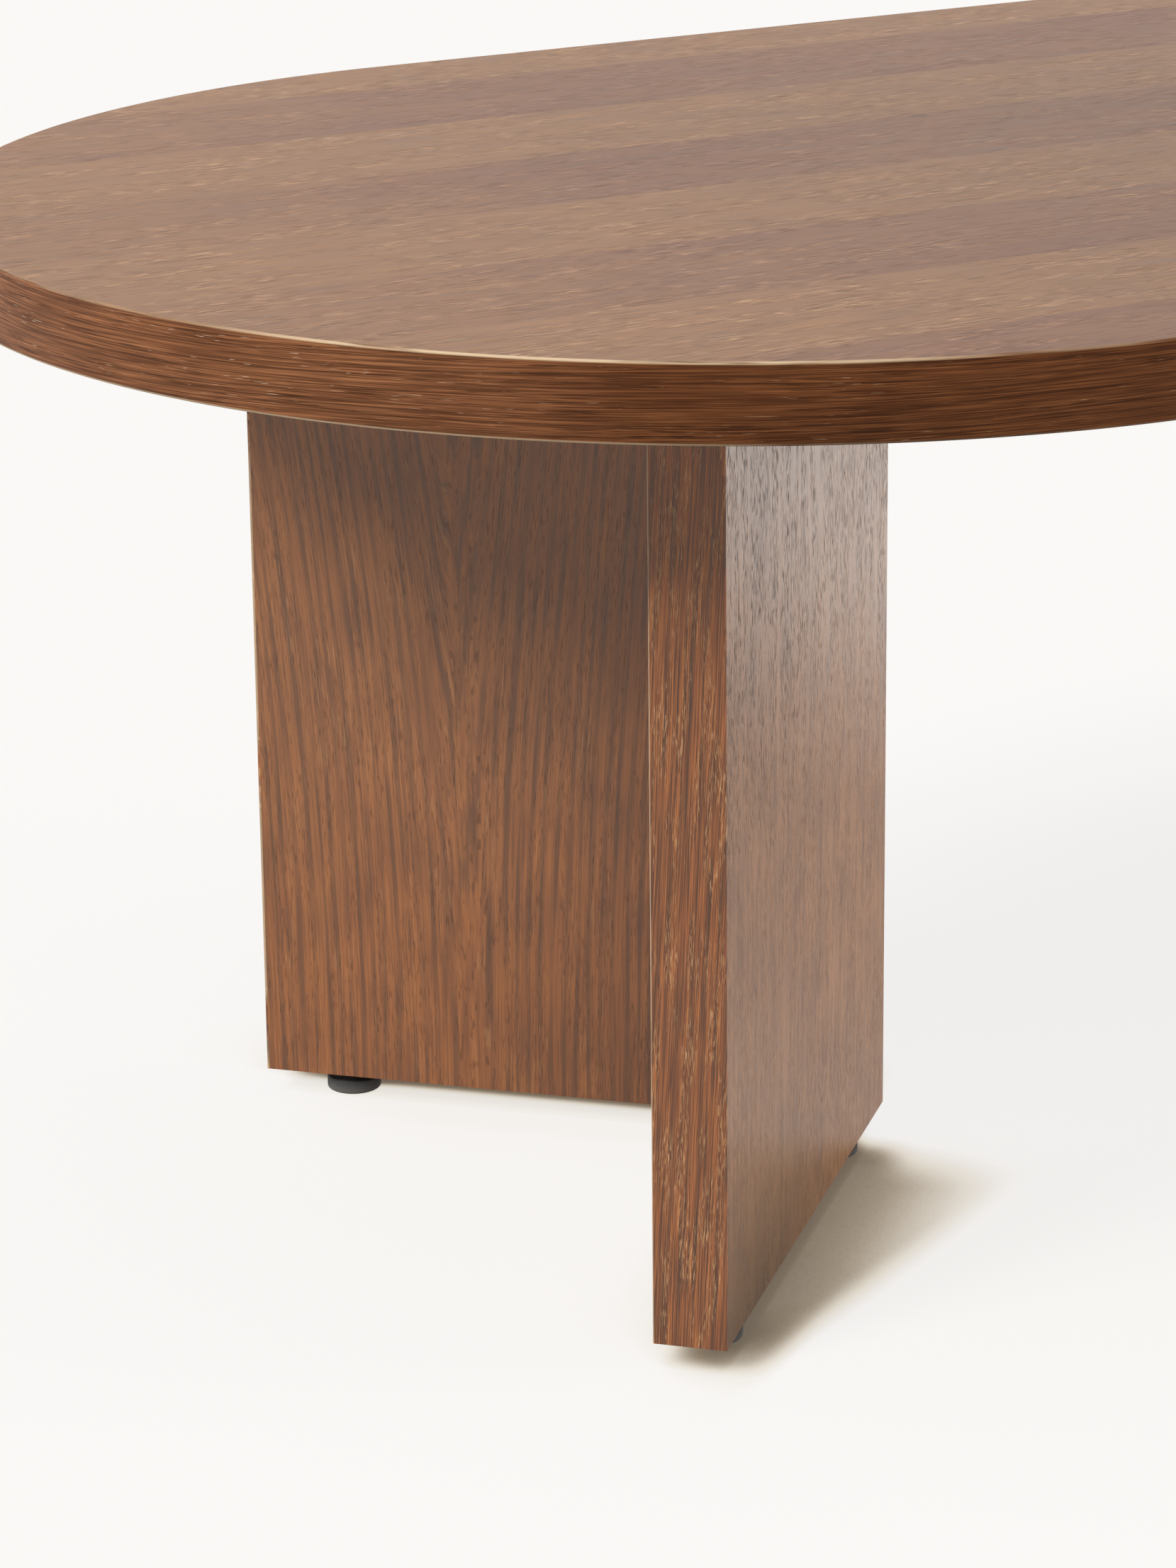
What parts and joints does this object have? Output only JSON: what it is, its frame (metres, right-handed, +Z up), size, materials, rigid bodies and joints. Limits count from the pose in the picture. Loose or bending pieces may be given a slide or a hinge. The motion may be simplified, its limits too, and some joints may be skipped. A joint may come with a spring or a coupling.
{
  "type": "coffee table",
  "caption": "Low oval coffee table in brown stained wood veneer, a flat rounded board on V-shaped panel legs that stand on black levelling glides.",
  "frame": {"origin": "on the floor under the middle of the top", "axes": "+X along the top, -Y the front, +Z up"},
  "size_m": [0.9998, 0.55, 0.355],
  "materials": {
    "board_core": "stained board",
    "top_veneer": "satin lacquer",
    "underside_veneer": "satin lacquer",
    "top_edge_band": "satin lacquer",
    "leg_outer_veneer": "satin lacquer",
    "leg_inner_veneer": "satin lacquer",
    "leg_end_band": "satin lacquer",
    "tongue_wood": "plain",
    "plate_steel": "black powder coat",
    "zinc_steel": "zinc plated",
    "bolt_steel": "black oxide",
    "insert_brass": "plain",
    "stud_steel": "zinc plated",
    "glide_plastic": "moulded black"
  },
  "bodies": {
    "table": {"top_core": "board_core", "top_veneer": "top_veneer", "underside_veneer": "underside_veneer", "top_edge_band": "top_edge_band", "left_front_panel_core": "board_core", "left_front_outer_veneer": "leg_outer_veneer", "left_front_inner_veneer": "leg_inner_veneer", "left_front_end_band": "leg_end_band", "left_back_panel_core": "board_core", "left_back_outer_veneer": "leg_outer_veneer", "left_back_inner_veneer": "leg_inner_veneer", "left_back_end_band": "leg_end_band", "left_mitre_tongue": "tongue_wood", "left_mounting_plate": "plate_steel", "left_plate_screws": "zinc_steel", "left_top_inserts": "insert_brass", "left_bolt_washers": "zinc_steel", "left_top_bolts": "bolt_steel", "left_glide_inserts": "insert_brass", "right_front_panel_core": "board_core", "right_front_outer_veneer": "leg_outer_veneer", "right_front_inner_veneer": "leg_inner_veneer", "right_front_end_band": "leg_end_band", "right_back_panel_core": "board_core", "right_back_outer_veneer": "leg_outer_veneer", "right_back_inner_veneer": "leg_inner_veneer", "right_back_end_band": "leg_end_band", "right_mitre_tongue": "tongue_wood", "right_mounting_plate": "plate_steel", "right_plate_screws": "zinc_steel", "right_top_inserts": "insert_brass", "right_bolt_washers": "zinc_steel", "right_top_bolts": "bolt_steel", "right_glide_inserts": "insert_brass"},
    "left_front_corner_pad": {"left_front_corner_glide_pad": "glide_plastic"},
    "left_front_corner_stud": {"left_front_corner_glide_stud": "stud_steel"},
    "left_front_end_pad": {"left_front_end_glide_pad": "glide_plastic"},
    "left_front_end_stud": {"left_front_end_glide_stud": "stud_steel"},
    "left_back_corner_pad": {"left_back_corner_glide_pad": "glide_plastic"},
    "left_back_corner_stud": {"left_back_corner_glide_stud": "stud_steel"},
    "left_back_end_pad": {"left_back_end_glide_pad": "glide_plastic"},
    "left_back_end_stud": {"left_back_end_glide_stud": "stud_steel"},
    "right_front_corner_pad": {"right_front_corner_glide_pad": "glide_plastic"},
    "right_front_corner_stud": {"right_front_corner_glide_stud": "stud_steel"},
    "right_front_end_pad": {"right_front_end_glide_pad": "glide_plastic"},
    "right_front_end_stud": {"right_front_end_glide_stud": "stud_steel"},
    "right_back_corner_pad": {"right_back_corner_glide_pad": "glide_plastic"},
    "right_back_corner_stud": {"right_back_corner_glide_stud": "stud_steel"},
    "right_back_end_pad": {"right_back_end_glide_pad": "glide_plastic"},
    "right_back_end_stud": {"right_back_end_glide_stud": "stud_steel"}
  },
  "joints": [
    {"name": "left_front_corner_height", "type": "slide", "parent": "table", "child": "left_front_corner_pad", "axis": [0, 0, 1], "range_m": [-0.01, 0.001]},
    {"name": "left_front_corner_screw", "type": "hinge", "parent": "left_front_corner_pad", "child": "left_front_corner_stud", "pos_m": [-0.19947, -0.01379, 0], "axis": [0, 0, 1], "range_deg": [-3600, 360]},
    {"name": "left_front_end_height", "type": "slide", "parent": "table", "child": "left_front_end_pad", "axis": [0, 0, 1], "range_m": [-0.01, 0.001]},
    {"name": "left_front_end_screw", "type": "hinge", "parent": "left_front_end_pad", "child": "left_front_end_stud", "pos_m": [-0.31826, -0.13258, 0], "axis": [0, 0, 1], "range_deg": [-3600, 360]},
    {"name": "left_back_corner_height", "type": "slide", "parent": "table", "child": "left_back_corner_pad", "axis": [0, 0, 1], "range_m": [-0.01, 0.001]},
    {"name": "left_back_corner_screw", "type": "hinge", "parent": "left_back_corner_pad", "child": "left_back_corner_stud", "pos_m": [-0.19947, 0.01379, 0], "axis": [0, 0, 1], "range_deg": [-3600, 360]},
    {"name": "left_back_end_height", "type": "slide", "parent": "table", "child": "left_back_end_pad", "axis": [0, 0, 1], "range_m": [-0.01, 0.001]},
    {"name": "left_back_end_screw", "type": "hinge", "parent": "left_back_end_pad", "child": "left_back_end_stud", "pos_m": [-0.31826, 0.13258, 0], "axis": [0, 0, 1], "range_deg": [-3600, 360]},
    {"name": "right_front_corner_height", "type": "slide", "parent": "table", "child": "right_front_corner_pad", "axis": [0, 0, 1], "range_m": [-0.01, 0.001]},
    {"name": "right_front_corner_screw", "type": "hinge", "parent": "right_front_corner_pad", "child": "right_front_corner_stud", "pos_m": [0.19947, -0.01379, 0], "axis": [0, 0, 1], "range_deg": [-3600, 360]},
    {"name": "right_front_end_height", "type": "slide", "parent": "table", "child": "right_front_end_pad", "axis": [0, 0, 1], "range_m": [-0.01, 0.001]},
    {"name": "right_front_end_screw", "type": "hinge", "parent": "right_front_end_pad", "child": "right_front_end_stud", "pos_m": [0.31826, -0.13258, 0], "axis": [0, 0, 1], "range_deg": [-3600, 360]},
    {"name": "right_back_corner_height", "type": "slide", "parent": "table", "child": "right_back_corner_pad", "axis": [0, 0, 1], "range_m": [-0.01, 0.001]},
    {"name": "right_back_corner_screw", "type": "hinge", "parent": "right_back_corner_pad", "child": "right_back_corner_stud", "pos_m": [0.19947, 0.01379, 0], "axis": [0, 0, 1], "range_deg": [-3600, 360]},
    {"name": "right_back_end_height", "type": "slide", "parent": "table", "child": "right_back_end_pad", "axis": [0, 0, 1], "range_m": [-0.01, 0.001]},
    {"name": "right_back_end_screw", "type": "hinge", "parent": "right_back_end_pad", "child": "right_back_end_stud", "pos_m": [0.31826, 0.13258, 0], "axis": [0, 0, 1], "range_deg": [-3600, 360]}
  ],
  "couplings": [
    {"joint": "left_front_corner_screw", "follows": "left_front_corner_height", "rad_per_m": 6283.2},
    {"joint": "left_front_end_screw", "follows": "left_front_end_height", "rad_per_m": 6283.2},
    {"joint": "left_back_corner_screw", "follows": "left_back_corner_height", "rad_per_m": 6283.2},
    {"joint": "left_back_end_screw", "follows": "left_back_end_height", "rad_per_m": 6283.2},
    {"joint": "right_front_corner_screw", "follows": "right_front_corner_height", "rad_per_m": 6283.2},
    {"joint": "right_front_end_screw", "follows": "right_front_end_height", "rad_per_m": 6283.2},
    {"joint": "right_back_corner_screw", "follows": "right_back_corner_height", "rad_per_m": 6283.2},
    {"joint": "right_back_end_screw", "follows": "right_back_end_height", "rad_per_m": 6283.2}
  ]
}
